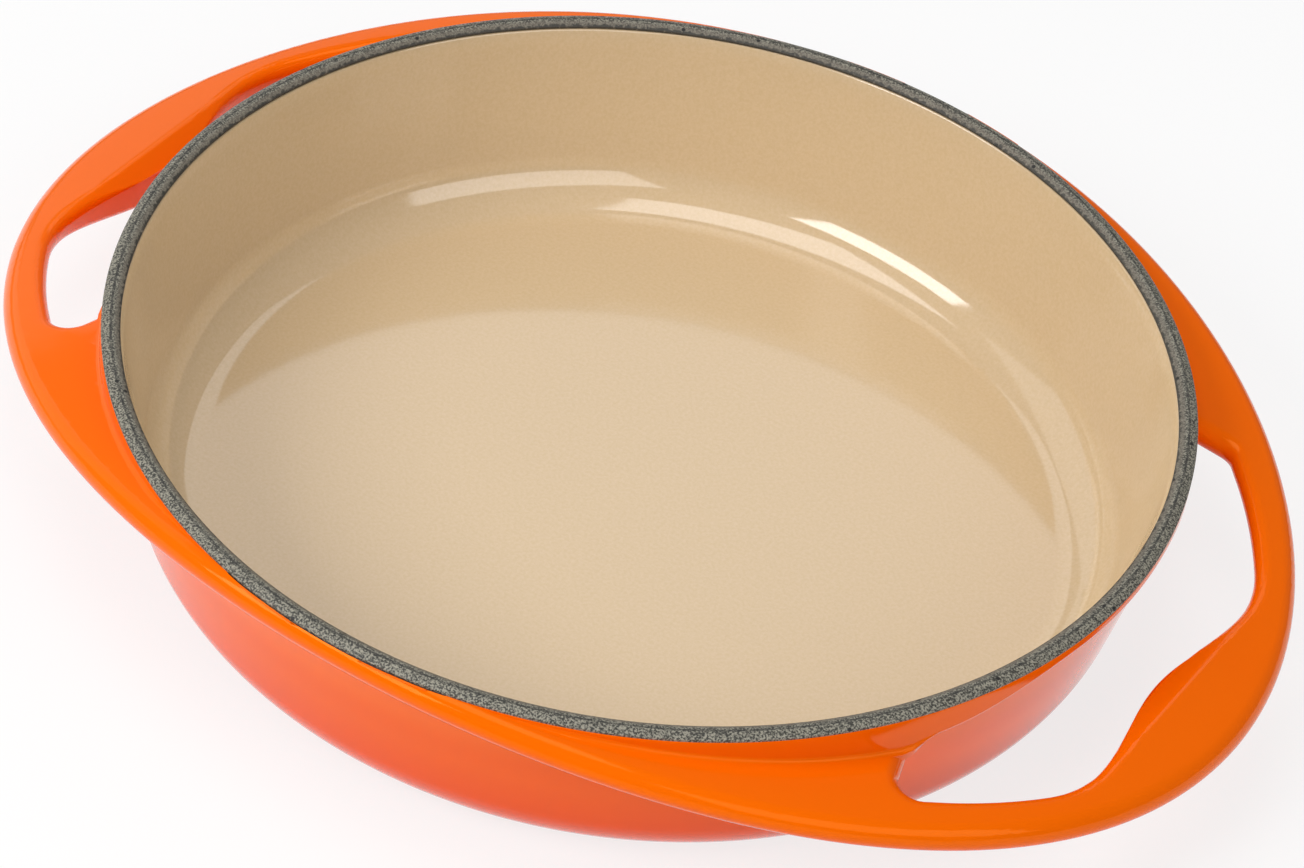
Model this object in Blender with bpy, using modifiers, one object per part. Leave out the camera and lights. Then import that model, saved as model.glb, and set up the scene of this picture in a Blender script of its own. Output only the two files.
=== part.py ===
"""A round enamelled cast iron dish for tarte tatin, with a loop handle on each side.

The dish is one iron casting, a turned bowl joined to an arched oval brim, under fired coats of glass.
Each coat is its own solid. X runs through both handles, Z is up, and the origin is under the bowl's centre.
All sizes are in metres.
"""

import math

import bmesh
import bpy

# The bowl, over its coats
RIM_INNER_RADIUS = 0.1250
RIM_WIDTH = 0.0045
RIM_CROWN = 0.0010
OVERALL_HEIGHT = 0.0526
RIM_BAND_HEIGHT = 0.0055
RIM_OVERHANG = 0.0022
WALL_DRAFT = math.radians(11.7)
WALL_THICKNESS = 0.0042
FLOOR_THICKNESS = 0.0045
BASE_CORNER_RADIUS = 0.0186

# The brim, an oval plate that is arched along X and ends in the two handles, given by how far it stands out
# past the rim's outer edge: at each handle, and at the collar in front and behind
HANDLE_REACH = 0.0341
COLLAR_REACH = 0.0016
BRIM_THICKNESS = 0.0070
BRIM_ARCH_RADIUS = 0.617
BRIM_RISE = 0.0003

# The finger holes, whose widths are those of the metal left beside them and whose angles start at the handle
GRIP_WIDTH = 0.0220
NECK_WIDTH = 0.0090
ARM_WIDTH = 0.0112
GRIP_SPREAD = math.radians(24.0)
NECK_ANGLE = math.radians(17.0)
FRONT_SPREAD = math.radians(37.4)
BACK_SPREAD = math.radians(38.4)
HOLE_END_RADIUS = 0.0045
HOLE_SHIFT = 0.0006
# How far each end turns before it runs straight into the bowl: round at the front, square at the back
FRONT_END_TURN = math.radians(162.0)
BACK_END_TURN = math.radians(97.0)

# The lip for the fingers, by which the inner edge of a grip reaches below the plate
LIP_DEPTH = 0.0070

# The sloping face of the thumb rest in the middle of each grip
THUMB_REST_DEPTH = 0.0060
THUMB_REST_LENGTH = 0.0700
THUMB_REST_SLOPE = math.radians(25.0)

# The fired coats, and the clearance that keeps each coat a solid of its own
COAT_THICKNESS = 0.0005
SEAT_GAP = 0.0003

# How finely curves are drawn
TURN_STEPS = 64
CORNER_STEPS = 4
CROWN_STEPS = 4
OUTLINE_STEPS = 60
GRIP_STEPS = 16
HOLE_END_STEPS = 4
EDGE_RESOLUTION = 2
ARCH_PITCH = 0.018

MERGE_DISTANCE = 1e-5
CUT_MARGIN = 0.005

# Sizes that follow from the ones above
RIM_OUTER_RADIUS = RIM_INNER_RADIUS + RIM_WIDTH
RIM_EDGE_Z = OVERALL_HEIGHT - RIM_CROWN
BAND_FOOT_Z = RIM_EDGE_Z - RIM_BAND_HEIGHT
WALL_TOP_RADIUS = RIM_OUTER_RADIUS - RIM_OVERHANG
WALL_FOOT_RADIUS = WALL_TOP_RADIUS - BAND_FOOT_Z * math.tan(WALL_DRAFT)
FLAT_BASE_RADIUS = WALL_FOOT_RADIUS - BASE_CORNER_RADIUS * math.tan((math.pi / 2 - WALL_DRAFT) / 2)
EDGE_RADIUS = BRIM_THICKNESS / 2
CORE_LENGTH_RADIUS = RIM_OUTER_RADIUS + HANDLE_REACH - EDGE_RADIUS
CORE_WIDTH_RADIUS = RIM_OUTER_RADIUS + COLLAR_REACH - EDGE_RADIUS
BRIM_CORE_Z = RIM_EDGE_Z + BRIM_RISE - EDGE_RADIUS
LAYER = COAT_THICKNESS + SEAT_GAP


def clear_scene():
    for obj in list(bpy.data.objects):
        bpy.data.objects.remove(obj, do_unlink=True)


def new_collection(name):
    collection = bpy.data.collections.new(name)
    bpy.context.scene.collection.children.link(collection)
    return collection


def principled(name, color, roughness, metallic=0.0):
    material = bpy.data.materials.new(name)
    material.use_nodes = True
    shader = material.node_tree.nodes["Principled BSDF"]
    shader.inputs["Base Color"].default_value = (*color, 1.0)
    shader.inputs["Roughness"].default_value = roughness
    shader.inputs["Metallic"].default_value = metallic
    material.diffuse_color = (*color, 1.0)
    return material


def arc(center, radius, start, end, steps):
    """Points from one angle to another, in the plane of the profile or of the outline."""
    points = []
    for step in range(steps + 1):
        angle = start + (end - start) * step / steps
        points.append((center[0] + radius * math.cos(angle), center[1] + radius * math.sin(angle)))
    return points


def turned(name, profile, collection):
    """A solid of revolution, whose profile runs down the outer side from the top."""
    mesh = bpy.data.meshes.new(name)
    points = [(radius, 0.0, height) for radius, height in profile]
    edges = [(index, index + 1) for index in range(len(points) - 1)]
    if profile[0][0] > 0.0:
        edges.append((len(points) - 1, 0))
    mesh.from_pydata(points, edges, [])
    obj = bpy.data.objects.new(name, mesh)
    collection.objects.link(obj)
    screw = obj.modifiers.new("Turn", "SCREW")
    screw.axis = "Z"
    screw.angle = 2 * math.pi
    screw.steps = TURN_STEPS
    screw.render_steps = TURN_STEPS
    screw.use_merge_vertices = True
    screw.merge_threshold = MERGE_DISTANCE
    screw.use_smooth_shade = True
    return obj


def wall_corner(depth):
    """The arc from the wall into the flat base, at this depth under the dish's outer surface."""
    center = (FLAT_BASE_RADIUS, BASE_CORNER_RADIUS)
    return arc(center, BASE_CORNER_RADIUS - depth, -WALL_DRAFT, -math.pi / 2, CORNER_STEPS)


def outer_profile(depth, top):
    """The outside of the bowl, filled in to the axis, at this depth under its surface."""
    band = RIM_OUTER_RADIUS - depth
    wall = WALL_TOP_RADIUS - depth / math.cos(WALL_DRAFT)
    profile = [(0.0, top), (band, top), (band, BAND_FOOT_Z + RIM_OVERHANG), (wall, BAND_FOOT_Z)]
    return profile + wall_corner(depth) + [(0.0, depth)]


def inner_profile(depth, top):
    """The inside of the bowl, filled in to the axis, at this depth under its inner surface."""
    radius = max(BASE_CORNER_RADIUS - WALL_THICKNESS, COAT_THICKNESS)
    floor = FLOOR_THICKNESS - depth
    lean = math.tan(WALL_DRAFT)
    outward = depth / math.cos(WALL_DRAFT)
    # The inner wall leans with the outer one and starts at the rim's inner edge
    foot = RIM_INNER_RADIUS - (RIM_EDGE_Z - FLOOR_THICKNESS) * lean
    center = (foot - radius * math.tan((math.pi / 2 - WALL_DRAFT) / 2), FLOOR_THICKNESS + radius)
    corner = arc(center, radius + depth, -WALL_DRAFT, -math.pi / 2, CORNER_STEPS)
    upper = (RIM_INNER_RADIUS + (top - RIM_EDGE_Z) * lean + outward, top)
    return [(0.0, top), upper] + corner + [(0.0, floor)]


def oval_point(angle):
    """A point of the brim's core outline, half a thickness inside its edge, and its outward direction."""
    point = (CORE_LENGTH_RADIUS * math.cos(angle), CORE_WIDTH_RADIUS * math.sin(angle))
    normal = (math.cos(angle) / CORE_LENGTH_RADIUS, math.sin(angle) / CORE_WIDTH_RADIUS)
    length = math.hypot(*normal)
    return point, (normal[0] / length, normal[1] / length)


def inside_oval(angle, distance):
    point, normal = oval_point(angle)
    return point[0] - normal[0] * distance, point[1] - normal[1] * distance


def grip_share(angle):
    """How much of the grip there is at this angle: all of it in the middle, and none past its spread."""
    return math.cos(math.pi / 2 * min(abs(angle) / GRIP_SPREAD, 1.0)) ** 2


def bar_width(angle):
    """The width of the bar beside a finger hole: a broad grip, a neck, then an arm that widens to the bowl."""
    angle = abs(angle)
    width = NECK_WIDTH + (GRIP_WIDTH - NECK_WIDTH) * grip_share(angle)
    if angle > NECK_ANGLE:
        width += (ARM_WIDTH - NECK_WIDTH) * (angle - NECK_ANGLE) / (FRONT_SPREAD - NECK_ANGLE)
    return width


def hole_end(spread, turn):
    """One end of a finger hole: it turns on a small radius, then runs straight on until it is inside the wall."""
    radius = HOLE_END_RADIUS + EDGE_RADIUS
    center = inside_oval(spread, bar_width(spread) - BRIM_THICKNESS + radius)
    end = arc(center, radius, math.radians(48), turn, HOLE_END_STEPS)
    x, y = end[-1]
    step_x, step_y = -math.sin(turn), math.cos(turn)
    hidden = WALL_TOP_RADIUS - WALL_THICKNESS - EDGE_RADIUS
    # The distance along the heading at which the outline reaches the hidden radius
    along = x * step_x + y * step_y
    reach = -along - math.sqrt(max(along**2 - x**2 - y**2 + hidden**2, 0.0))
    return end + [(x + step_x * reach, y + step_y * reach)]


def hole_outline():
    """The core outline of the finger hole at +X, half a thickness outside the opening."""
    first = math.radians(2.4) - FRONT_SPREAD
    last = BACK_SPREAD - math.radians(2.4)
    bar = []
    for step in range(GRIP_STEPS + 1):
        angle = first + (last - first) * step / GRIP_STEPS
        bar.append(inside_oval(angle, bar_width(angle) - BRIM_THICKNESS))
    back = hole_end(BACK_SPREAD, BACK_END_TURN)
    front = [(x, -y) for x, y in hole_end(FRONT_SPREAD, FRONT_END_TURN)]
    # The side next to the bowl lies inside the wall, which closes the hole there
    start = math.atan2(back[-1][1], back[-1][0])
    finish = math.atan2(front[-1][1], front[-1][0])
    side = arc((0.0, 0.0), math.hypot(*back[-1]), start, finish, HOLE_END_STEPS * 2)
    outline = bar + back + side[1:-1] + list(reversed(front))
    return [(x, y - HOLE_SHIFT) for x, y in outline]


def brim_outline():
    return [oval_point(2 * math.pi * step / OUTLINE_STEPS)[0] for step in range(OUTLINE_STEPS)]


def arched(x):
    """How far the brim has dropped at this distance from the middle."""
    return BRIM_ARCH_RADIUS - math.sqrt(BRIM_ARCH_RADIUS**2 - x**2)


def brim_plate(name, depth, collection):
    """The oval plate with its finger holes and round edges, at this depth under its surface."""
    curve = bpy.data.curves.new(name, "CURVE")
    curve.dimensions = "2D"
    curve.fill_mode = "BOTH"
    curve.bevel_depth = EDGE_RADIUS - depth
    curve.bevel_resolution = EDGE_RESOLUTION
    hole = hole_outline()
    other_hole = [(-x, y) for x, y in reversed(hole)]
    for outline in (brim_outline(), hole, other_hole):
        spline = curve.splines.new("POLY")
        spline.points.add(len(outline) - 1)
        for point, (x, y) in zip(spline.points, outline):
            point.co = (x, y, 0.0, 1.0)
        spline.use_cyclic_u = True
    flat = bpy.data.objects.new(name, curve)
    collection.objects.link(flat)
    evaluated = flat.evaluated_get(bpy.context.evaluated_depsgraph_get())
    mesh = bpy.data.meshes.new_from_object(evaluated)
    bpy.data.objects.remove(flat)
    bm = bmesh.new()
    bm.from_mesh(mesh)
    bmesh.ops.remove_doubles(bm, verts=bm.verts, dist=MERGE_DISTANCE)
    for vert in bm.verts:
        # Only the edges of the finger holes lie inside the core oval. Beside a grip, their lower half is the lip
        along = abs(vert.co.x) / CORE_LENGTH_RADIUS
        across = vert.co.y / CORE_WIDTH_RADIUS
        inside = math.hypot(along, across) < 1.0 - MERGE_DISTANCE
        if inside and vert.co.z < -MERGE_DISTANCE:
            vert.co.z -= LIP_DEPTH * grip_share(math.atan2(across, along))
    half_cuts = int(CORE_LENGTH_RADIUS / ARCH_PITCH)
    for cut in range(-half_cuts, half_cuts + 1):
        geometry = bm.verts[:] + bm.edges[:] + bm.faces[:]
        bmesh.ops.bisect_plane(bm, geom=geometry, plane_co=(cut * ARCH_PITCH, 0, 0), plane_no=(1, 0, 0))
    bmesh.ops.recalc_face_normals(bm, faces=bm.faces)
    for vert in bm.verts:
        vert.co.z += BRIM_CORE_Z - arched(vert.co.x)
    bm.to_mesh(mesh)
    bm.free()
    obj = bpy.data.objects.new(name, mesh)
    collection.objects.link(obj)
    return obj


def thumb_rest_cutter(name, side, depth, collection):
    """A tilted block that pares the inner edge of one grip down to the sloping thumb rest."""
    edge = CORE_LENGTH_RADIUS + EDGE_RADIUS - GRIP_WIDTH
    ridge = edge + THUMB_REST_DEPTH
    top = BRIM_CORE_Z - arched(ridge) + EDGE_RADIUS - depth
    height = BRIM_THICKNESS
    length = THUMB_REST_DEPTH + GRIP_WIDTH
    bpy.ops.mesh.primitive_cube_add(size=1.0)
    obj = bpy.context.active_object
    obj.name = name
    for owner in list(obj.users_collection):
        owner.objects.unlink(obj)
    collection.objects.link(obj)
    bm = bmesh.new()
    bm.from_mesh(obj.data)
    for vert in bm.verts:
        # The block hangs from its ridge, and tapers in plan so that the rest fades out at its ends
        x = (vert.co.x - 0.5) * length
        z = (vert.co.z + 0.5) * height
        slope = THUMB_REST_SLOPE
        vert.co.x = side * (ridge + x * math.cos(slope) - z * math.sin(slope))
        vert.co.y = vert.co.y * THUMB_REST_LENGTH
        vert.co.z = top + x * math.sin(slope) + z * math.cos(slope)
    bmesh.ops.recalc_face_normals(bm, faces=bm.faces)
    bm.to_mesh(obj.data)
    bm.free()
    return obj


def boolean(obj, operation, other):
    modifier = obj.modifiers.new(other.name, "BOOLEAN")
    modifier.operation = operation
    modifier.solver = "EXACT"
    modifier.object = other
    other.hide_render = True
    other.display_type = "WIRE"


def add_brim(obj, label, depth, helpers):
    """Joins the brim to a bowl at the same depth, with its thumb rests pared."""
    plate = brim_plate(label + "_brim", depth, helpers)
    for side in (1, -1):
        rest = thumb_rest_cutter(f"{label}_rest_{'right' if side > 0 else 'left'}", side, depth, helpers)
        boolean(plate, "DIFFERENCE", rest)
    boolean(obj, "UNION", plate)


def rim_seat(label, helpers):
    """The space that the rim's coat takes, cut out of whatever stands in it."""
    radius = RIM_OUTER_RADIUS + SEAT_GAP
    top = OVERALL_HEIGHT + CUT_MARGIN
    floor = RIM_EDGE_Z - LAYER
    profile = [(0.0, top), (radius, top), (radius, floor), (0.0, floor)]
    return turned(label + "_rim_seat", profile, helpers)


def cast_iron_body(parts, helpers):
    body = turned("cast_iron_body", outer_profile(LAYER, RIM_EDGE_Z - LAYER), parts)
    add_brim(body, "iron", LAYER, helpers)
    boolean(body, "DIFFERENCE", rim_seat("iron", helpers))
    hollow = turned("iron_hollow", inner_profile(LAYER, OVERALL_HEIGHT + CUT_MARGIN), helpers)
    boolean(body, "DIFFERENCE", hollow)
    body.data.materials.append(principled("cast iron", (0.10, 0.10, 0.105), 0.65, 0.6))
    return body


def exterior_enamel(parts, helpers):
    coat = turned("exterior_enamel", outer_profile(0.0, RIM_EDGE_Z - LAYER), parts)
    add_brim(coat, "coat", 0.0, helpers)
    boolean(coat, "DIFFERENCE", rim_seat("coat", helpers))
    core = turned("coat_core", outer_profile(COAT_THICKNESS, OVERALL_HEIGHT + CUT_MARGIN), helpers)
    add_brim(core, "core", COAT_THICKNESS, helpers)
    boolean(coat, "DIFFERENCE", core)
    radius = FLAT_BASE_RADIUS + SEAT_GAP
    plug = [(0.0, LAYER), (radius, LAYER), (radius, -CUT_MARGIN), (0.0, -CUT_MARGIN)]
    boolean(coat, "DIFFERENCE", turned("coat_base_seat", plug, helpers))
    coat.data.materials.append(principled("orange enamel", (0.90, 0.125, 0.0), 0.12))
    return coat


def base_enamel(parts):
    profile = [(0.0, COAT_THICKNESS), (FLAT_BASE_RADIUS, COAT_THICKNESS), (FLAT_BASE_RADIUS, 0.0), (0.0, 0.0)]
    coat = turned("base_enamel", profile, parts)
    coat.data.materials.append(principled("orange enamel of the base", (0.75, 0.07, 0.0), 0.2))
    return coat


def interior_enamel(parts):
    top = RIM_EDGE_Z - LAYER
    face = inner_profile(0.0, top)
    back = inner_profile(COAT_THICKNESS, top)
    coat = turned("interior_enamel", back[1:] + list(reversed(face[1:])), parts)
    coat.data.materials.append(principled("sand enamel", (0.73, 0.60, 0.38), 0.2))
    return coat


def rim_ground_coat(parts):
    """The band on top of the rim: a shallow arch over a flat underside."""
    half = RIM_WIDTH / 2
    radius = (half**2 + RIM_CROWN**2) / (2 * RIM_CROWN)
    spread = math.asin(min(half / radius, 1.0))
    middle = (RIM_INNER_RADIUS + half, OVERALL_HEIGHT - radius)
    crown = arc(middle, radius, math.pi / 2 + spread, math.pi / 2 - spread, CROWN_STEPS)
    floor = RIM_EDGE_Z - COAT_THICKNESS
    profile = crown + [(RIM_OUTER_RADIUS, floor), (RIM_INNER_RADIUS, floor)]
    coat = turned("rim_ground_coat", profile, parts)
    coat.data.materials.append(principled("grey ground coat", (0.16, 0.16, 0.155), 0.55))
    return coat


def main():
    clear_scene()
    parts = new_collection("tarte_tatin_dish")
    helpers = new_collection("cutters")
    cast_iron_body(parts, helpers)
    exterior_enamel(parts, helpers)
    base_enamel(parts)
    interior_enamel(parts)
    rim_ground_coat(parts)


main()
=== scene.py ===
# Tarte tatin dish in enamelled cast iron, set on a white sweep.
# X runs through both handles, Z is up and the dish stands on z = 0.
# Lengths are in metres and angles in degrees, unless a note says otherwise.
import math

import bmesh
import bpy
from mathutils import Matrix, Vector


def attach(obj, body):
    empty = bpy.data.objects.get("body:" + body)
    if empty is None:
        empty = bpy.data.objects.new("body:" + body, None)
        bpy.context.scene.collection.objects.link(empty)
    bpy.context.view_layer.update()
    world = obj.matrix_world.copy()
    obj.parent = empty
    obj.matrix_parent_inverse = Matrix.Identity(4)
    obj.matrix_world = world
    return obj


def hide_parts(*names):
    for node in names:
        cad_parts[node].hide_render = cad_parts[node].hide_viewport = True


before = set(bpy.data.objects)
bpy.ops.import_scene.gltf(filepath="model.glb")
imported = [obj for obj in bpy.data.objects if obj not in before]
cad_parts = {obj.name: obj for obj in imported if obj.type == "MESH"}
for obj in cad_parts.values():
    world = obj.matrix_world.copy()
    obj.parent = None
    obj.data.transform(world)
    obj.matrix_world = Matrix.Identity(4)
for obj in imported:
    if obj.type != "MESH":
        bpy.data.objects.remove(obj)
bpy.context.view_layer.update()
print("frame loaded")

scene = bpy.context.scene
tiny = 1e-6  # points nearer than this are one


def srgb(hexCode):
    # an sRGB hex value as a linear colour
    linear = []
    for place in (1, 3, 5):
        value = int(hexCode[place:place + 2], 16) / 255
        linear.append(value / 12.92 if value <= 0.04045 else ((value + 0.055) / 1.055) ** 2.4)
    return (*linear, 1.0)


def addNode(tree, kind, settings=None, links=None):
    # a number names a socket by its place: in a Map Range 1 and 2 are what comes in, 3 and 4 what goes out,
    # and in a Mix of colours 0 is the share, 6 and 7 are the colours, and output 2 is the result
    node = tree.nodes.new(kind)
    for name, value in (settings or {}).items():
        if isinstance(name, int) or name in node.inputs:
            node.inputs[name].default_value = value
        else:
            setattr(node, name, value)
    for name, source in (links or {}).items():
        tree.links.new(source, node.inputs[name])
    return node


def newMaterial(name):
    material = bpy.data.materials.new(name)
    material.use_nodes = True
    material.node_tree.nodes.clear()
    return material, material.node_tree


def newPiece(name, bm):
    mesh = bpy.data.meshes.new(name)
    bm.to_mesh(mesh)
    bm.free()
    piece = bpy.data.objects.new(name, mesh)
    scene.collection.objects.link(piece)
    return piece


def bake(piece):
    # takes the live modifiers into the mesh
    evaluated = piece.evaluated_get(bpy.context.evaluated_depsgraph_get())
    mesh = bpy.data.meshes.new_from_object(evaluated)
    old = piece.data
    piece.modifiers.clear()
    piece.data = mesh
    mesh.name = piece.name
    bpy.data.meshes.remove(old)


def spinProfile(profile, steps, closed=False):
    # profile is radius and height from top to bottom, turned once round the bowl's axis
    bm = bmesh.new()
    verts = [bm.verts.new((radius, 0, height)) for radius, height in profile]
    edges = [bm.edges.new(pair) for pair in zip(verts, verts[1:])]
    if closed:
        edges.append(bm.edges.new((verts[-1], verts[0])))
    bmesh.ops.spin(bm, geom=verts + edges, cent=(0, 0, 0), axis=(0, 0, 1), dvec=(0, 0, 0),
                   angle=2 * math.pi, steps=steps, use_merge=True, use_duplicate=False)
    bmesh.ops.remove_doubles(bm, verts=bm.verts, dist=tiny)
    bmesh.ops.recalc_face_normals(bm, faces=bm.faces)
    return bm


def arcPoints(centre, radius, start, end, steps):
    points = []
    for step in range(steps + 1):
        angle = math.radians(start + (end - start) * step / steps)
        points.append((centre[0] + radius * math.cos(angle), centre[1] + radius * math.sin(angle)))
    return points


def smoothStep(value, low, high):
    share = min(max((value - low) / (high - low), 0.0), 1.0)
    return share * share * (3 - 2 * share)


# sizes of the bowl, the same as its solids have
bowl = {
    "rimInner": 0.1250,
    "rimOuter": 0.1295,
    "rimEdge": 0.0516,  # height where the rim's crown starts
    "top": 0.0526,
    "wallTop": 0.1273,  # outer radius of the wall at the height of bandFoot
    "bandFoot": 0.0461,
    "draft": 11.7,  # how far the wall leans out
    "wall": 0.0042,
    "floor": 0.0045,
    "corner": 0.0186,
    "coat": 0.0005,
    "gap": 0.0003,
    "steps": 256,
}
lean = math.tan(math.radians(bowl["draft"]))
bowl["wallFoot"] = bowl["wallTop"] - bowl["bandFoot"] * lean
bowl["flatBase"] = bowl["wallFoot"] - bowl["corner"] * math.tan(math.radians(45 - bowl["draft"] / 2))

brim = {
    "coreLength": 0.1601,  # half axes of the line half a thickness inside the edge
    "coreWidth": 0.1276,
    "round": 0.0035,
    "archRadius": 0.617,
    "height": 0.0484,  # the middle of the plate, over the bowl's axis
    "grip": 0.0220,  # widths of a handle's bar: at its middle, where it is narrowest, and at its ends
    "neck": 0.0090,
    "arm": 0.0112,
    "gripSpread": 24.0,
    "neckAngle": 17.0,  # from here the bar widens again towards its end
    "frontSpread": 37.4,  # where a finger hole ends, round the oval from a handle's middle
    "backSpread": 38.4,
    "frontTurn": 162.0,  # where the round end of a finger hole stops turning
    "backTurn": 97.0,
    "endRadius": 0.0045,
    "endStart": 48.0,
    "endMargin": 2.4,
    "shift": 0.0006,
    "lip": 0.0070,  # how far the inner edge of a grip reaches down for the fingertips
    "restDepth": 0.0060,
    "restSlope": 25.0,
    "restHalf": 0.035,
    "restInner": 0.130,  # the thumb rest stays outside this
    "restSoft": 0.0005,  # how far the ridge is rounded over by the enamel
    "outlineSteps": 240,
    "gripSteps": 84,
    "endSteps": 12,
    "sideSteps": 24,
    "edgeSteps": 5,
    "cutStep": 0.006,  # cuts across the flat plate, so that it can be arched
    "cutsEachWay": 26,
    "restCutStart": 0.1370,  # and closer ones at the thumb rest's ridge
    "restCutStep": 0.0007,
    "restCuts": 18,
    "cove": 0.0013,
}


def arched(x):
    return brim["archRadius"] - math.sqrt(brim["archRadius"] ** 2 - x ** 2)


def wallRadius(height):
    return bowl["wallTop"] - (bowl["bandFoot"] - height) * lean


# the orange coat outside: bowl, collar and handles in one piece
# at a finger hole the wall has a bare band, and elsewhere the brim's plate with a cove over and under it
skin = {
    "plateRadius": 0.131,  # where the height of the arched plate is read
    "collarTop": 0.0506,
    "coveShare": 0.8,  # of the height left over the plate
    "leastCove": 0.00006,
    "coveSteps": 6,
    "bandEnd": 26.5,  # round from the X axis, where the band starts to turn into the plate
    "plateStart": 31.0,
    "dropStart": 9.0,  # the band's foot lies lower towards the ends of a finger hole
    "dropEnd": 28.0,
    "drop": 0.0049,
    "edge": ((-0.00035, 0), (-0.0001, -0.00008)),  # out and up from the corner, for a round upper edge
    "edgeDrop": 0.00030,
    "sunkTop": 0.0020,  # how deep two points lie hidden in the plate
    "sunkFoot": 0.0015,
    "chamfer": 0.0022,  # height of the chamfer over the band's foot
    "chamferTop": ((-0.00012, 0.0002), (-0.00045, -0.00035), (-0.0011, -0.0010)),  # out and up from its top
    "chamferFoot": ((0.0007, 0.0007), (0.0003, 0.0002), (0.00012, -0.0001)),  # and from the band's foot
    "shoulder": 0.0010,  # close rows start this far over the chamfer
    "shoulderRow": 0.00008,
    "wallRow": 0.0003,
    "wallRows": 6,
    "cornerSteps": 20,
}


def skinProfile(angle):
    # one section of the bowl's outside, mixed from a band and a plate that have equally many points
    arch = arched(skin["plateRadius"] * math.cos(angle))
    plateTop = min(brim["height"] + brim["round"] - arch, skin["collarTop"])
    plateFoot = brim["height"] - brim["round"] - arch
    cove = max(skin["leastCove"], min(brim["cove"], skin["coveShare"] * (skin["collarTop"] - plateTop)))
    away = math.degrees(abs(math.atan2(math.sin(angle), abs(math.cos(angle)))))
    held = smoothStep(away, skin["bandEnd"], skin["plateStart"])
    foot = bowl["bandFoot"] - skin["drop"] * smoothStep(away, skin["dropStart"], skin["dropEnd"])
    outer = bowl["rimOuter"]
    under = brim["cove"]
    lip = bowl["rimEdge"] - bowl["coat"]
    edge = [(outer + out, lip + up) for out, up in skin["edge"]]
    edge.append((outer, lip - skin["edgeDrop"]))
    plate = edge + [(outer, (plateTop + cove + lip - skin["edgeDrop"]) / 2)]
    plate += arcPoints((outer + cove, plateTop + cove), cove, 180, 270, skin["coveSteps"])
    plateSide = wallRadius(plateFoot) + under
    plate += [(outer + cove, plateTop - skin["sunkTop"]), (plateSide, plateFoot + skin["sunkFoot"])]
    plate += arcPoints((plateSide, plateFoot - under), under, 90, 180, skin["coveSteps"])
    chamfer = foot + skin["chamfer"]
    band = edge + [(outer, (chamfer + skin["shoulder"] + lip) / 2)]
    band += [(outer, chamfer + skin["shoulder"] - skin["shoulderRow"] * step) for step in range(5)]
    band += [(outer + out, chamfer + up) for out, up in skin["chamferTop"]]
    band += [(wallRadius(foot) + out, foot + up) for out, up in skin["chamferFoot"]]
    below = [foot - skin["wallRow"] * step for step in range(1, 6)]
    band += [(wallRadius(height), height) for height in below]
    mixed = [(a[0] + (b[0] - a[0]) * held, a[1] + (b[1] - a[1]) * held) for a, b in zip(band, plate)]
    # it stops a gap short of the flat base, which has its own coat
    stop = -math.degrees(math.acos(bowl["gap"] / bowl["corner"]))
    corner = arcPoints((bowl["flatBase"], bowl["corner"]), bowl["corner"], -bowl["draft"], stop,
                       skin["cornerSteps"])
    last = mixed[-1][1]
    rows = skin["wallRows"]
    heights = [last + (corner[0][1] - last) * step / rows for step in range(1, rows)]
    return mixed + [(wallRadius(height), height) for height in heights] + corner


def buildBowlForm():
    # one section is spun, then each point goes where the section at its own angle has it
    start = skinProfile(0.0)
    bm = spinProfile(start, bowl["steps"])
    micro = 1e6  # micrometres in a metre
    places = {}
    for index, (radius, height) in enumerate(start):
        places[(round(radius * micro), round(height * micro))] = index
    for vert in bm.verts:
        angle = math.atan2(vert.co.y, vert.co.x)
        across, up = math.hypot(vert.co.x, vert.co.y) * micro, vert.co.z * micro
        nearest = min(places, key=lambda place: abs(place[0] - across) + abs(place[1] - up))
        radius, height = skinProfile(angle)[places[nearest]]
        vert.co = (radius * math.cos(angle), radius * math.sin(angle), height)
    bmesh.ops.holes_fill(bm, edges=[edge for edge in bm.edges if edge.is_boundary], sides=0)
    bmesh.ops.recalc_face_normals(bm, faces=bm.faces)
    return newPiece("bowlForm", bm)


def insideOval(degrees, distance):
    angle = math.radians(degrees)
    point = Vector((brim["coreLength"] * math.cos(angle), brim["coreWidth"] * math.sin(angle)))
    normal = Vector((math.cos(angle) / brim["coreLength"], math.sin(angle) / brim["coreWidth"])).normalized()
    return point - normal * distance


def gripShare(degrees):
    # 1 in the middle of a grip and 0 where it has narrowed to a neck
    return math.cos(math.pi / 2 * min(abs(degrees) / brim["gripSpread"], 1.0)) ** 2


def barWidth(degrees):
    degrees = abs(degrees)
    width = brim["neck"] + (brim["grip"] - brim["neck"]) * gripShare(degrees)
    if degrees > brim["neckAngle"]:
        share = (degrees - brim["neckAngle"]) / (brim["frontSpread"] - brim["neckAngle"])
        width += (brim["arm"] - brim["neck"]) * share
    return width


def holeEnd(spread, turn):
    # the round end of a finger hole, and a straight side from it that ends hidden in the bowl's wall
    radius = brim["endRadius"] + brim["round"]
    centre = insideOval(spread, barWidth(spread) - 2 * brim["round"] + radius)
    end = arcPoints(centre, radius, brim["endStart"], turn, brim["endSteps"])
    x, y = end[-1]
    stepX, stepY = -math.sin(math.radians(turn)), math.cos(math.radians(turn))
    hidden = bowl["wallTop"] - bowl["wall"] - brim["round"]
    along = x * stepX + y * stepY
    reach = -along - math.sqrt(max(along ** 2 - x ** 2 - y ** 2 + hidden ** 2, 0.0))
    return end + [(x + stepX * reach, y + stepY * reach)]


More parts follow.
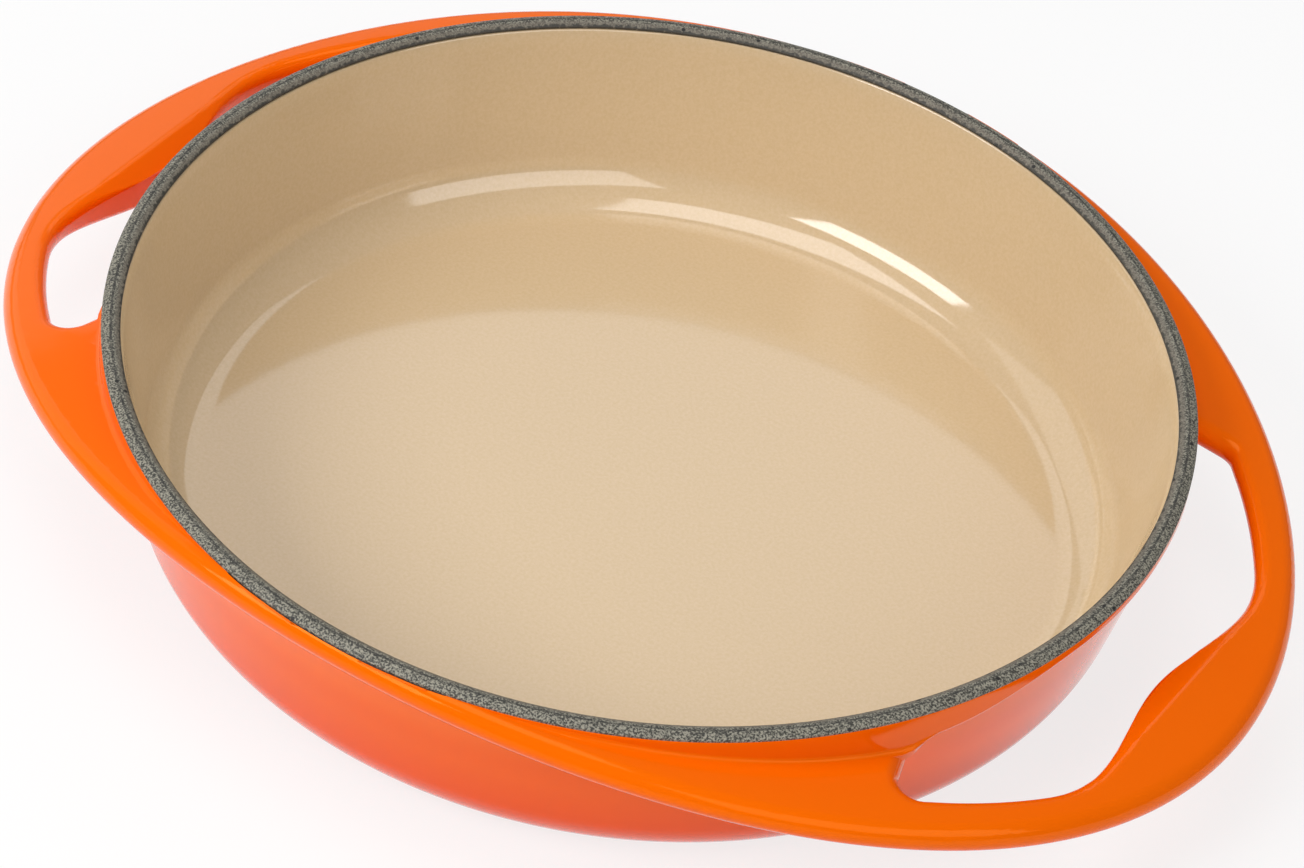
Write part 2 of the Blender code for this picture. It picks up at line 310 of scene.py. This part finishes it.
def holeOutline():
    first = brim["endMargin"] - brim["frontSpread"]
    last = brim["backSpread"] - brim["endMargin"]
    bar = []
    for step in range(brim["gripSteps"] + 1):
        degrees = first + (last - first) * step / brim["gripSteps"]
        bar.append(tuple(insideOval(degrees, barWidth(degrees) - 2 * brim["round"])))
    back = holeEnd(brim["backSpread"], brim["backTurn"])
    front = [(x, -y) for x, y in holeEnd(brim["frontSpread"], brim["frontTurn"])]
    start = math.degrees(math.atan2(back[-1][1], back[-1][0]))
    finish = math.degrees(math.atan2(front[-1][1], front[-1][0]))
    side = arcPoints((0, 0), math.hypot(*back[-1]), start, finish, brim["sideSteps"])
    outline = bar + back + side[1:-1] + front[::-1]
    return [(x, y - brim["shift"]) for x, y in outline]


def softLower(value, limit, soft):
    # the lower of two heights, rounded where they meet
    blend = max(soft - abs(value - limit), 0.0) / soft
    return min(value, limit) - blend * blend * soft / 4


def flatBrim():
    # a flat plate with a round edge and two finger holes, from a filled curve
    curve = bpy.data.curves.new("brimForm", "CURVE")
    curve.dimensions = "2D"
    curve.fill_mode = "BOTH"
    curve.bevel_depth = brim["round"]
    curve.bevel_resolution = brim["edgeSteps"]
    hole = holeOutline()
    steps = brim["outlineSteps"]
    outer = [tuple(insideOval(360 * step / steps, 0)) for step in range(steps)]
    for outline in (outer, hole, [(-x, y) for x, y in reversed(hole)]):
        spline = curve.splines.new("POLY")
        spline.points.add(len(outline) - 1)
        for point, (x, y) in zip(spline.points, outline):
            point.co = (x, y, 0, 1)
        spline.use_cyclic_u = True
    flat = bpy.data.objects.new("brimFlat", curve)
    scene.collection.objects.link(flat)
    mesh = bpy.data.meshes.new_from_object(flat.evaluated_get(bpy.context.evaluated_depsgraph_get()))
    bpy.data.objects.remove(flat)
    return mesh


def buildBrimForm():
    bm = bmesh.new()
    bm.from_mesh(flatBrim())
    bmesh.ops.remove_doubles(bm, verts=bm.verts, dist=tiny)
    for vert in bm.verts:
        # the lip under each grip: only the lower side of the holes' edges, which lies inside the oval
        along, across = abs(vert.co.x) / brim["coreLength"], vert.co.y / brim["coreWidth"]
        if math.hypot(along, across) < 0.999 and vert.co.z < -tiny:
            vert.co.z -= brim["lip"] * gripShare(math.degrees(math.atan2(across, along)))
    cuts = [brim["cutStep"] * step for step in range(-brim["cutsEachWay"], brim["cutsEachWay"] + 1)]
    for side in (1, -1):
        cuts += [side * (brim["restCutStart"] + brim["restCutStep"] * step)
                 for step in range(brim["restCuts"])]
    for place in cuts:
        bmesh.ops.bisect_plane(bm, geom=bm.verts[:] + bm.edges[:] + bm.faces[:],
                               plane_co=(place, 0, 0), plane_no=(1, 0, 0))
    ridge = brim["coreLength"] + brim["round"] - brim["grip"] + brim["restDepth"]
    slope = math.tan(math.radians(brim["restSlope"]))
    for vert in bm.verts:
        height = brim["height"] - arched(vert.co.x) + vert.co.z
        across = abs(vert.co.x)
        if vert.co.z > 0 and abs(vert.co.y) < brim["restHalf"] and across > brim["restInner"]:
            rest = brim["height"] + brim["round"] - arched(ridge) - (ridge - across) * slope
            height = softLower(height, rest, brim["restSoft"])
        vert.co.z = height
    bmesh.ops.recalc_face_normals(bm, faces=bm.faces)
    return newPiece("brimForm", bm)


# the space for the rim's own coat, sunk a hair below the outer coat's upper edge so that it cuts cleanly
seat = {"top": 0.060, "sink": 0.00001}


def buildSeat():
    radius = bowl["rimOuter"] + bowl["gap"]
    foot = bowl["rimEdge"] - bowl["coat"] - seat["sink"]
    bm = spinProfile([(radius, seat["top"]), (radius, foot)], bowl["steps"])
    bmesh.ops.holes_fill(bm, edges=[edge for edge in bm.edges if edge.is_boundary], sides=0)
    bmesh.ops.recalc_face_normals(bm, faces=bm.faces)
    return newPiece("rimSeat", bm)


def joinForms(base, other, operation):
    join = base.modifiers.new(other.name, "BOOLEAN")
    join.operation = operation
    join.solver = "EXACT"
    join.object = other
    bake(base)
    bpy.data.objects.remove(other)


# the joined form is closed, so its caps at the rim and the base come off before it gets the coat's thickness
shell = {
    "weld": 2e-6,
    "capDepth": 0.0007,  # a cap at the rim lies less than this below the rim's edge
    "capRadius": 0.1285,
    "capFacing": 0.9,
    "baseHeight": 0.00003,
    "sharp": 38,
    "evenWeight": 80,
}


def openCaps(bm):
    capHeight = bowl["rimEdge"] - shell["capDepth"]
    caps = [face for face in bm.faces
            if all(vert.co.z > capHeight for vert in face.verts) and face.normal.z > shell["capFacing"]
            and face.calc_center_median().xy.length < shell["capRadius"]]
    caps += [face for face in bm.faces if all(vert.co.z < shell["baseHeight"] for vert in face.verts)]
    bmesh.ops.delete(bm, geom=caps, context="FACES")
    loose = [vert for vert in bm.verts if not vert.link_faces]
    bmesh.ops.delete(bm, geom=loose, context="VERTS")


def buildOuterCoat():
    coat = buildBowlForm()
    coat.name = "outerCoat"
    joinForms(coat, buildBrimForm(), "UNION")
    joinForms(coat, buildSeat(), "DIFFERENCE")
    bm = bmesh.new()
    bm.from_mesh(coat.data)
    bmesh.ops.remove_doubles(bm, verts=bm.verts, dist=shell["weld"])
    openCaps(bm)
    bm.to_mesh(coat.data)
    bm.free()
    thicken = coat.modifiers.new("coat", "SOLIDIFY")
    thicken.thickness = bowl["coat"]
    thicken.offset = -1
    bake(coat)
    coat.data.set_sharp_from_angle(angle=math.radians(shell["sharp"]))
    even = coat.modifiers.new("even", "WEIGHTED_NORMAL")
    even.keep_sharp = True
    even.weight = shell["evenWeight"]
    print("outer coat", len(coat.data.polygons), "faces")
    return coat


# the sand coat inside the bowl
lining = {
    "cornerSteps": 40,
    "wallRows": 8,
    "softEdge": 0.8,  # radius of its upper edge, as a share of its thickness
    "softSteps": 5,
    "floorRings": (0.75, 0.5, 0.25, 0),
    "sharp": 40,
}


def buildInnerCoat():
    radius = bowl["corner"] - bowl["wall"]
    foot = bowl["rimInner"] - (bowl["rimEdge"] - bowl["floor"]) * lean
    centre = (foot - radius * math.tan(math.radians(45 - bowl["draft"] / 2)), bowl["floor"] + radius)
    top = bowl["rimEdge"] - bowl["coat"] - bowl["gap"]

    def section(depth):
        behind = depth / math.cos(math.radians(bowl["draft"]))
        upper = bowl["rimInner"] + (top - bowl["rimEdge"]) * lean + behind
        corner = arcPoints(centre, radius + depth, -bowl["draft"], -90, lining["cornerSteps"])
        rows = lining["wallRows"]
        walls = [(upper + (corner[0][0] - upper) * step / rows, top + (corner[0][1] - top) * step / rows)
                 for step in range(rows)]
        if depth == 0:
            # the glass draws back from the rim in a small round edge, which catches the light
            soft = bowl["coat"] * lining["softEdge"]
            walls[0] = (walls[0][0] - soft * lean, top - soft)
            edge = arcPoints((upper + soft, top - soft), soft, 90, 180 - bowl["draft"], lining["softSteps"])
            walls = edge[:-1] + walls
        rings = [(corner[-1][0] * share, bowl["floor"] - depth) for share in lining["floorRings"]]
        return walls + corner + rings

    face = section(0)
    back = section(bowl["coat"])
    bm = spinProfile(back + face[::-1], bowl["steps"], closed=True)
    coat = newPiece("innerCoat", bm)
    coat.data.shade_smooth()
    coat.data.set_sharp_from_angle(angle=math.radians(lining["sharp"]))
    return coat


# the bare ground coat on the rim
rim = {"crownSteps": 14, "turns": 384, "sharp": 40}


def buildRim():
    half = (bowl["rimOuter"] - bowl["rimInner"]) / 2
    crown = bowl["top"] - bowl["rimEdge"]
    radius = (half ** 2 + crown ** 2) / (2 * crown)
    spread = math.degrees(math.asin(half / radius))
    middle = (bowl["rimInner"] + half, bowl["top"] - radius)
    profile = arcPoints(middle, radius, 90 - spread, 90 + spread, rim["crownSteps"])
    foot = bowl["rimEdge"] - bowl["coat"]
    profile += [(bowl["rimInner"], foot), (bowl["rimOuter"], foot)]
    bm = spinProfile(profile, rim["turns"], closed=True)
    coat = newPiece("rimCoat", bm)
    coat.data.shade_smooth()
    coat.data.set_sharp_from_angle(angle=math.radians(rim["sharp"]))
    return coat


outerCoat = buildOuterCoat()
innerCoat = buildInnerCoat()
rimCoat = buildRim()
print("coats built")


# Vitreous enamel is glass fired onto the iron: a deep even colour under a hard gloss.
# Orange on top, its own colour reddens down the wall; faces turned sideways or down get redder painted shade.
orangeEnamel = {
    "top": "#FA6A00",
    # side is the wall's own red, and also painted shade on faces turned sideways or down
    "side": "#F25A00",
    "foot": "#EA4000",
    "shadedFacing": (0.25, -0.75),  # the normal's upward part where the painted shade starts and where it is full
    "wall": (0.1292, 0.1280),  # radii between which the collar ends and the bowl's wall starts
    "redder": (0.044, 0.030),  # heights on the wall between which it turns red
    "deeper": (0.026, 0.004),  # and between which it turns to the foot's red
    "drift": 30.0,  # mm between patches that are a little more or less red
    "driftShare": 0.06,
    "sheen": (1.0, 0.45, 0.1, 1.0),  # the coloured glass tints what it mirrors straight on
    "roughness": 0.09,
    "IOR": 1.5,
    "orangePeel": 5.0,  # mm between the waves of the fired glass
    "peelDepth": 0.00003,
}


def enamelOutside():
    material, tree = newMaterial("vitreous enamel, orange to red")
    place = addNode(tree, "ShaderNodeTexCoord")
    onPiece = place.outputs["Object"]
    parts = addNode(tree, "ShaderNodeSeparateXYZ", links={0: onPiece})
    height = parts.outputs["Z"]
    flat = addNode(tree, "ShaderNodeVectorMath", {"operation": "MULTIPLY", 1: (1, 1, 0)}, {0: onPiece})
    radius = addNode(tree, "ShaderNodeVectorMath", {"operation": "LENGTH"}, {0: flat.outputs[0]})
    normal = addNode(tree, "ShaderNodeSeparateXYZ", links={0: place.outputs["Normal"]})
    # how much a face looks down or sideways, away from the light above, for painted shade in red
    start, full = orangeEnamel["shadedFacing"]
    shadedFacing = addNode(tree, "ShaderNodeMapRange", {"interpolation_type": "SMOOTHSTEP", 1: start, 2: full},
                     {0: normal.outputs["Z"]})
    start, full = orangeEnamel["wall"]
    onWall = addNode(tree, "ShaderNodeMapRange", {1: start, 2: full}, {0: radius.outputs["Value"]})
    start, full = orangeEnamel["redder"]
    low = addNode(tree, "ShaderNodeMapRange", {"interpolation_type": "SMOOTHSTEP", 1: start, 2: full},
                  {0: height})
    wallRed = addNode(tree, "ShaderNodeMath", {"operation": "MULTIPLY"},
                      {0: onWall.outputs[0], 1: low.outputs[0]})
    red = addNode(tree, "ShaderNodeMath", {"operation": "MAXIMUM"},
                  {0: shadedFacing.outputs[0], 1: wallRed.outputs[0]})
    drift = addNode(tree, "ShaderNodeTexNoise", {"Scale": 1000 / orangeEnamel["drift"], "Detail": 2.0},
                    {"Vector": onPiece})
    most = orangeEnamel["driftShare"]
    uneven = addNode(tree, "ShaderNodeMapRange", {1: 0.3, 2: 0.7, 3: -most, 4: most}, {0: drift.outputs[0]})
    redness = addNode(tree, "ShaderNodeMath", {"operation": "ADD", "use_clamp": True},
                      {0: red.outputs[0], 1: uneven.outputs[0]})
    colour = addNode(tree, "ShaderNodeMix",
                     {"data_type": "RGBA", 6: srgb(orangeEnamel["top"]), 7: srgb(orangeEnamel["side"])},
                     {0: redness.outputs[0]})
    start, full = orangeEnamel["deeper"]
    deep = addNode(tree, "ShaderNodeMapRange", {1: start, 2: full}, {0: height})
    deep = addNode(tree, "ShaderNodeMath", {"operation": "MULTIPLY"},
                   {0: deep.outputs[0], 1: onWall.outputs[0]})
    colour = addNode(tree, "ShaderNodeMix", {"data_type": "RGBA", 7: srgb(orangeEnamel["foot"])},
                     {0: deep.outputs[0], 6: colour.outputs[2]})
    waves = addNode(tree, "ShaderNodeTexNoise", {"Scale": 1000 / orangeEnamel["orangePeel"], "Detail": 1.0},
                    {"Vector": onPiece})
    bump = addNode(tree, "ShaderNodeBump", {"Strength": 0.3, "Distance": orangeEnamel["peelDepth"]},
                   {"Height": waves.outputs[0]})
    shader = addNode(tree, "ShaderNodeBsdfPrincipled",
                     {"Roughness": orangeEnamel["roughness"], "IOR": orangeEnamel["IOR"],
                      "Specular Tint": orangeEnamel["sheen"]},
                     {"Base Color": colour.outputs[2], "Normal": bump.outputs[0]})
    addNode(tree, "ShaderNodeOutputMaterial", links={0: shader.outputs[0]})
    return material


# The lining is the same fired glass in an opaque sand colour, with a fine grain from its pigment.
sandEnamel = {
    "colour": "#DAC09B",
    "grain": "#D4B991",
    "grainSize": 0.9,  # mm
    "roughness": 0.085,
    "IOR": 1.8,  # over the 1.5 of plain glass, because the lining mirrors more strongly
    "orangePeel": 4.0,  # mm between the waves of the fired glass
    "peelDepth": 0.00004,
}


def enamelInside():
    material, tree = newMaterial("vitreous enamel, sand")
    place = addNode(tree, "ShaderNodeTexCoord")
    onPiece = place.outputs["Object"]
    grain = addNode(tree, "ShaderNodeTexNoise",
                    {"Scale": 1000 / sandEnamel["grainSize"], "Detail": 3.0, "Roughness": 0.7},
                    {"Vector": onPiece})
    share = addNode(tree, "ShaderNodeMapRange", {1: 0.35, 2: 0.65}, {0: grain.outputs[0]})
    colour = addNode(tree, "ShaderNodeMix",
                     {"data_type": "RGBA", 6: srgb(sandEnamel["colour"]), 7: srgb(sandEnamel["grain"])},
                     {0: share.outputs[0]})
    waves = addNode(tree, "ShaderNodeTexNoise", {"Scale": 1000 / sandEnamel["orangePeel"], "Detail": 1.0},
                    {"Vector": onPiece})
    bump = addNode(tree, "ShaderNodeBump", {"Strength": 0.3, "Distance": sandEnamel["peelDepth"]},
                   {"Height": waves.outputs[0]})
    shader = addNode(tree, "ShaderNodeBsdfPrincipled",
                     {"Roughness": sandEnamel["roughness"], "IOR": sandEnamel["IOR"]},
                     {"Base Color": colour.outputs[2], "Normal": bump.outputs[0]})
    addNode(tree, "ShaderNodeOutputMaterial", links={0: shader.outputs[0]})
    return material


# The ground coat is left bare on the rim: dry, matte and warm dark grey, with pale specks and small pits.
# The grinding mark round its crest is darker, and a ragged painted shadow lies where the sand coat ends.
groundCoat = {
    "dark": "#33322D",
    "pale": "#9A9687",
    # line is the dark of the crest's mark, and also of the painted shadow at the inner edge
    "inner": "#746C60",
    "line": "#2E2D2A",
    "pit": "#1B1A19",
    "speck": 0.45,  # mm across a speck
    "speckDepth": 0.0001,
    "slope": (0.1269, 0.1258),  # radii between which the inner slope's colour comes in
    "slopeShare": 0.65,
    "crest": 0.1273,
    "lineHalf": (0.00020, 0.00036),  # half width of the dark line, and where it has faded out
    "pitSize": 6.0,  # mm between pits
    "pitEdge": (0.075, 0.105),  # a pit's radius and where it has faded out, as shares of pitSize
    "ragged": 1.3,  # mm between the teeth of the ragged line
    "tooth": 0.0004,  # how far a tooth reaches to either side
    "border": (0.1255, 0.1252),  # radii between which the shadow at the inner edge comes in
    "borderShare": 0.85,
    "roughness": 0.55,
    "IOR": 1.5,
}


def groundOnRim():
    material, tree = newMaterial("enamel ground coat, matte grey")
    place = addNode(tree, "ShaderNodeTexCoord")
    onPiece = place.outputs["Object"]
    flat = addNode(tree, "ShaderNodeVectorMath", {"operation": "MULTIPLY", 1: (1, 1, 0)}, {0: onPiece})
    radius = addNode(tree, "ShaderNodeVectorMath", {"operation": "LENGTH"}, {0: flat.outputs[0]})
    fromAxis = radius.outputs["Value"]
    specks = addNode(tree, "ShaderNodeTexNoise",
                     {"Scale": 1000 / groundCoat["speck"], "Detail": 2.0, "Roughness": 0.6},
                     {"Vector": onPiece})
    share = addNode(tree, "ShaderNodeMapRange", {1: 0.42, 2: 0.60}, {0: specks.outputs[0]})
    colour = addNode(tree, "ShaderNodeMix",
                     {"data_type": "RGBA", 6: srgb(groundCoat["dark"]), 7: srgb(groundCoat["pale"])},
                     {0: share.outputs[0]})
    teeth = addNode(tree, "ShaderNodeTexNoise", {"Scale": 1000 / groundCoat["ragged"], "Detail": 2.0},
                    {"Vector": onPiece})
    # the slope inside the crest is smoother and browner
    start, full = groundCoat["slope"]
    inside = addNode(tree, "ShaderNodeMapRange",
                     {"interpolation_type": "SMOOTHSTEP", 1: start, 2: full, 4: groundCoat["slopeShare"]},
                     {0: fromAxis})
    colour = addNode(tree, "ShaderNodeMix", {"data_type": "RGBA", 7: srgb(groundCoat["inner"])},
                     {0: inside.outputs[0], 6: colour.outputs[2]})
    # the dark line round the crest comes and goes
    fromCrest = addNode(tree, "ShaderNodeMath", {"operation": "SUBTRACT", 1: groundCoat["crest"]},
                        {0: fromAxis})
    fromCrest = addNode(tree, "ShaderNodeMath", {"operation": "ABSOLUTE"}, {0: fromCrest.outputs[0]})
    solid, faded = groundCoat["lineHalf"]
    onCrest = addNode(tree, "ShaderNodeMapRange", {1: solid, 2: faded, 3: 1, 4: 0}, {0: fromCrest.outputs[0]})
    broken = addNode(tree, "ShaderNodeMapRange", {1: 0.35, 2: 0.6, 3: 1.0, 4: 0.4}, {0: teeth.outputs[0]})
    line = addNode(tree, "ShaderNodeMath", {"operation": "MULTIPLY"},
                   {0: onCrest.outputs[0], 1: broken.outputs[0]})
    colour = addNode(tree, "ShaderNodeMix", {"data_type": "RGBA", 7: srgb(groundCoat["line"])},
                     {0: line.outputs[0], 6: colour.outputs[2]})
    cells = addNode(tree, "ShaderNodeTexVoronoi", {"Scale": 1000 / groundCoat["pitSize"]},
                    {"Vector": onPiece})
    solid, faded = groundCoat["pitEdge"]
    pit = addNode(tree, "ShaderNodeMapRange", {1: solid, 2: faded, 3: 1, 4: 0},
                  {0: cells.outputs["Distance"]})
    colour = addNode(tree, "ShaderNodeMix", {"data_type": "RGBA", 7: srgb(groundCoat["pit"])},
                     {0: pit.outputs[0], 6: colour.outputs[2]})
    # the inner edge: a thin shadow with teeth, where the sand coat ends
    most = groundCoat["tooth"]
    tooth = addNode(tree, "ShaderNodeMapRange", {1: 0.3, 2: 0.7, 3: -most, 4: most}, {0: teeth.outputs[0]})
    wavy = addNode(tree, "ShaderNodeMath", {"operation": "ADD"}, {0: fromAxis, 1: tooth.outputs[0]})
    start, full = groundCoat["border"]
    border = addNode(tree, "ShaderNodeMapRange", {1: start, 2: full, 4: groundCoat["borderShare"]},
                     {0: wavy.outputs[0]})
    colour = addNode(tree, "ShaderNodeMix", {"data_type": "RGBA", 7: srgb(groundCoat["line"])},
                     {0: border.outputs[0], 6: colour.outputs[2]})
    bump = addNode(tree, "ShaderNodeBump", {"Strength": 0.6, "Distance": groundCoat["speckDepth"]},
                   {"Height": specks.outputs[0]})
    shader = addNode(tree, "ShaderNodeBsdfPrincipled",
                     {"Roughness": groundCoat["roughness"], "IOR": groundCoat["IOR"]},
                     {"Base Color": colour.outputs[2], "Normal": bump.outputs[0]})
    addNode(tree, "ShaderNodeOutputMaterial", links={0: shader.outputs[0]})
    return material


# Grey iron from the sand mould: dull, dark and slightly rough. It only shows between the coats.
greyIron = {
    "dark": "#3A3A3B",
    "pale": "#565655",
    "grain": 0.8,  # mm across the marks of the moulding sand
    "grainDepth": 0.0001,
    "metallic": 0.6,
    "roughness": 0.6,
}


def castIron():
    material, tree = newMaterial("grey cast iron, as cast")
    place = addNode(tree, "ShaderNodeTexCoord")
    sand = addNode(tree, "ShaderNodeTexNoise", {"Scale": 1000 / greyIron["grain"], "Detail": 4.0},
                   {"Vector": place.outputs["Object"]})
    share = addNode(tree, "ShaderNodeMapRange", {1: 0.35, 2: 0.65}, {0: sand.outputs[0]})
    colour = addNode(tree, "ShaderNodeMix",
                     {"data_type": "RGBA", 6: srgb(greyIron["dark"]), 7: srgb(greyIron["pale"])},
                     {0: share.outputs[0]})
    bump = addNode(tree, "ShaderNodeBump", {"Strength": 0.5, "Distance": greyIron["grainDepth"]},
                   {"Height": sand.outputs[0]})
    shader = addNode(tree, "ShaderNodeBsdfPrincipled",
                     {"Metallic": greyIron["metallic"], "Roughness": greyIron["roughness"]},
                     {"Base Color": colour.outputs[2], "Normal": bump.outputs[0]})
    addNode(tree, "ShaderNodeOutputMaterial", links={0: shader.outputs[0]})
    return material


outsideMaterial = enamelOutside()
outerCoat.data.materials.clear()
outerCoat.data.materials.append(outsideMaterial)
innerCoat.data.materials.append(enamelInside())
rimCoat.data.materials.append(groundOnRim())
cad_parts["base_enamel"].material_slots[0].material = outsideMaterial
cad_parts["cast_iron_body"].material_slots[0].material = castIron()

coats = (
    (outerCoat, "exterior_enamel", "orange_enamel"),
    (innerCoat, "interior_enamel", "sand_enamel"),
    (rimCoat, "rim_ground_coat", "ground_coat"),
)
for piece, node, slot in coats:
    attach(piece, "root")
    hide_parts(node)
print("materials set")


# floor, light and camera
studio = {
    "floorHalf": 4.0,
    "floorDrop": 0.0002,  # keeps the floor clear of the dish's base
    "floorTone": 0.93,
    "floorGlow": 0.78,  # how much of the floor's white is its own, so that the dish keeps a soft shadow on it
    "skyBright": 0.30,  # the room is brightest to the left of the camera
    "skyDim": 0.10,
    "skyAzimuth": -165,
    "skyElevation": 50,
}


def direction(azimuth, elevation):
    turn, rise = math.radians(azimuth), math.radians(elevation)
    return Vector((math.cos(turn) * math.cos(rise), math.sin(turn) * math.cos(rise), math.sin(rise)))


floorMesh = bmesh.new()
bmesh.ops.create_grid(floorMesh, x_segments=1, y_segments=1, size=studio["floorHalf"])
bmesh.ops.translate(floorMesh, verts=floorMesh.verts, vec=(0, 0, -studio["floorDrop"]))
floor = newPiece("studioFloor", floorMesh)
floorMaterial, tree = newMaterial("white paper sweep")
rays = addNode(tree, "ShaderNodeLightPath")
seen = addNode(tree, "ShaderNodeMath", {"operation": "MAXIMUM"},
               {0: rays.outputs["Is Camera Ray"], 1: rays.outputs["Is Glossy Ray"]})
seen = addNode(tree, "ShaderNodeMath", {"operation": "MAXIMUM"},
               {0: seen.outputs[0], 1: rays.outputs["Is Transmission Ray"]})
paper = addNode(tree, "ShaderNodeBsdfDiffuse", {"Color": (studio["floorTone"],) * 3 + (1,)})
glow = addNode(tree, "ShaderNodeEmission", {"Color": (1, 1, 1, 1), "Strength": 1.0})
amount = addNode(tree, "ShaderNodeMath", {"operation": "MULTIPLY", 1: studio["floorGlow"]},
                 {0: seen.outputs[0]})
mixed = addNode(tree, "ShaderNodeMixShader",
                links={0: amount.outputs[0], 1: paper.outputs[0], 2: glow.outputs[0]})
addNode(tree, "ShaderNodeOutputMaterial", links={0: mixed.outputs[0]})
floor.data.materials.append(floorMaterial)

world = bpy.data.worlds.new("studio")
scene.world = world
world.use_nodes = True
tree = world.node_tree
tree.nodes.clear()
room = addNode(tree, "ShaderNodeTexCoord")
towards = addNode(tree, "ShaderNodeVectorMath",
                  {"operation": "DOT_PRODUCT", 1: direction(studio["skyAzimuth"], studio["skyElevation"])},
                  {0: room.outputs["Generated"]})
level = addNode(tree, "ShaderNodeMapRange", {1: -1, 2: 1, 3: studio["skyDim"], 4: studio["skyBright"]},
                {0: towards.outputs["Value"]})
sky = addNode(tree, "ShaderNodeBackground", {"Color": (1, 1, 1, 1)}, {"Strength": level.outputs[0]})
addNode(tree, "ShaderNodeOutputWorld", links={0: sky.outputs[0]})

# azimuth and elevation as seen from the dish, power in watts
softboxes = {
    "frontBox": {"azimuth": -118, "elevation": 38, "distance": 1.55, "size": (1.0, 0.58), "power": 11.7},
    "topBox": {"azimuth": -150, "elevation": 80, "distance": 1.8, "size": (1.0, 1.0), "power": 8.1},
    "leftPanel": {"azimuth": 172, "elevation": 30, "distance": 1.8, "size": (1.5, 1.35), "power": 4.2},
    "lowPanel": {"azimuth": 132, "elevation": 20, "distance": 1.8, "size": (0.9, 0.45), "power": 0.6},
    "rightBox": {"azimuth": -24, "elevation": 36, "distance": 1.8, "size": (1.6, 1.0), "power": 9.8},
    "backPanel": {"azimuth": 118, "elevation": 43, "distance": 1.8, "size": (0.85, 0.56), "power": 1.4},
}
for name, box in softboxes.items():
    lamp = bpy.data.lights.new(name, "AREA")
    lamp.shape = "RECTANGLE"
    lamp.size, lamp.size_y = box["size"]
    lamp.energy = box["power"]
    lampObject = bpy.data.objects.new(name, lamp)
    away = direction(box["azimuth"], box["elevation"])
    lampObject.location = away * box["distance"]
    lampObject.rotation_euler = away.to_track_quat("Z", "Y").to_euler()
    scene.collection.objects.link(lampObject)

view = {
    "position": (0.4142, -0.7794, 0.7938),
    "azimuth": 27.82,
    "tilt": 48.95,
    "roll": 8.93,
    "sensor": 36,  # mm
    "focalPixels": 4901,
    "photoWidth": 1304,  # pixels
}
cameraData = bpy.data.cameras.new("photoCamera")
cameraData.sensor_fit = "HORIZONTAL"
cameraData.sensor_width = view["sensor"]
cameraData.lens = view["sensor"] * view["focalPixels"] / view["photoWidth"]
camera = bpy.data.objects.new("photoCamera", cameraData)
camera.matrix_world = (Matrix.Translation(view["position"])
                       @ Matrix.Rotation(math.radians(view["azimuth"]), 4, "Z")
                       @ Matrix.Rotation(math.radians(view["tilt"]), 4, "X")
                       @ Matrix.Rotation(math.radians(view["roll"]), 4, "Z"))
scene.collection.objects.link(camera)
scene.camera = camera
scene.view_settings.view_transform = "Standard"

print("studio set")
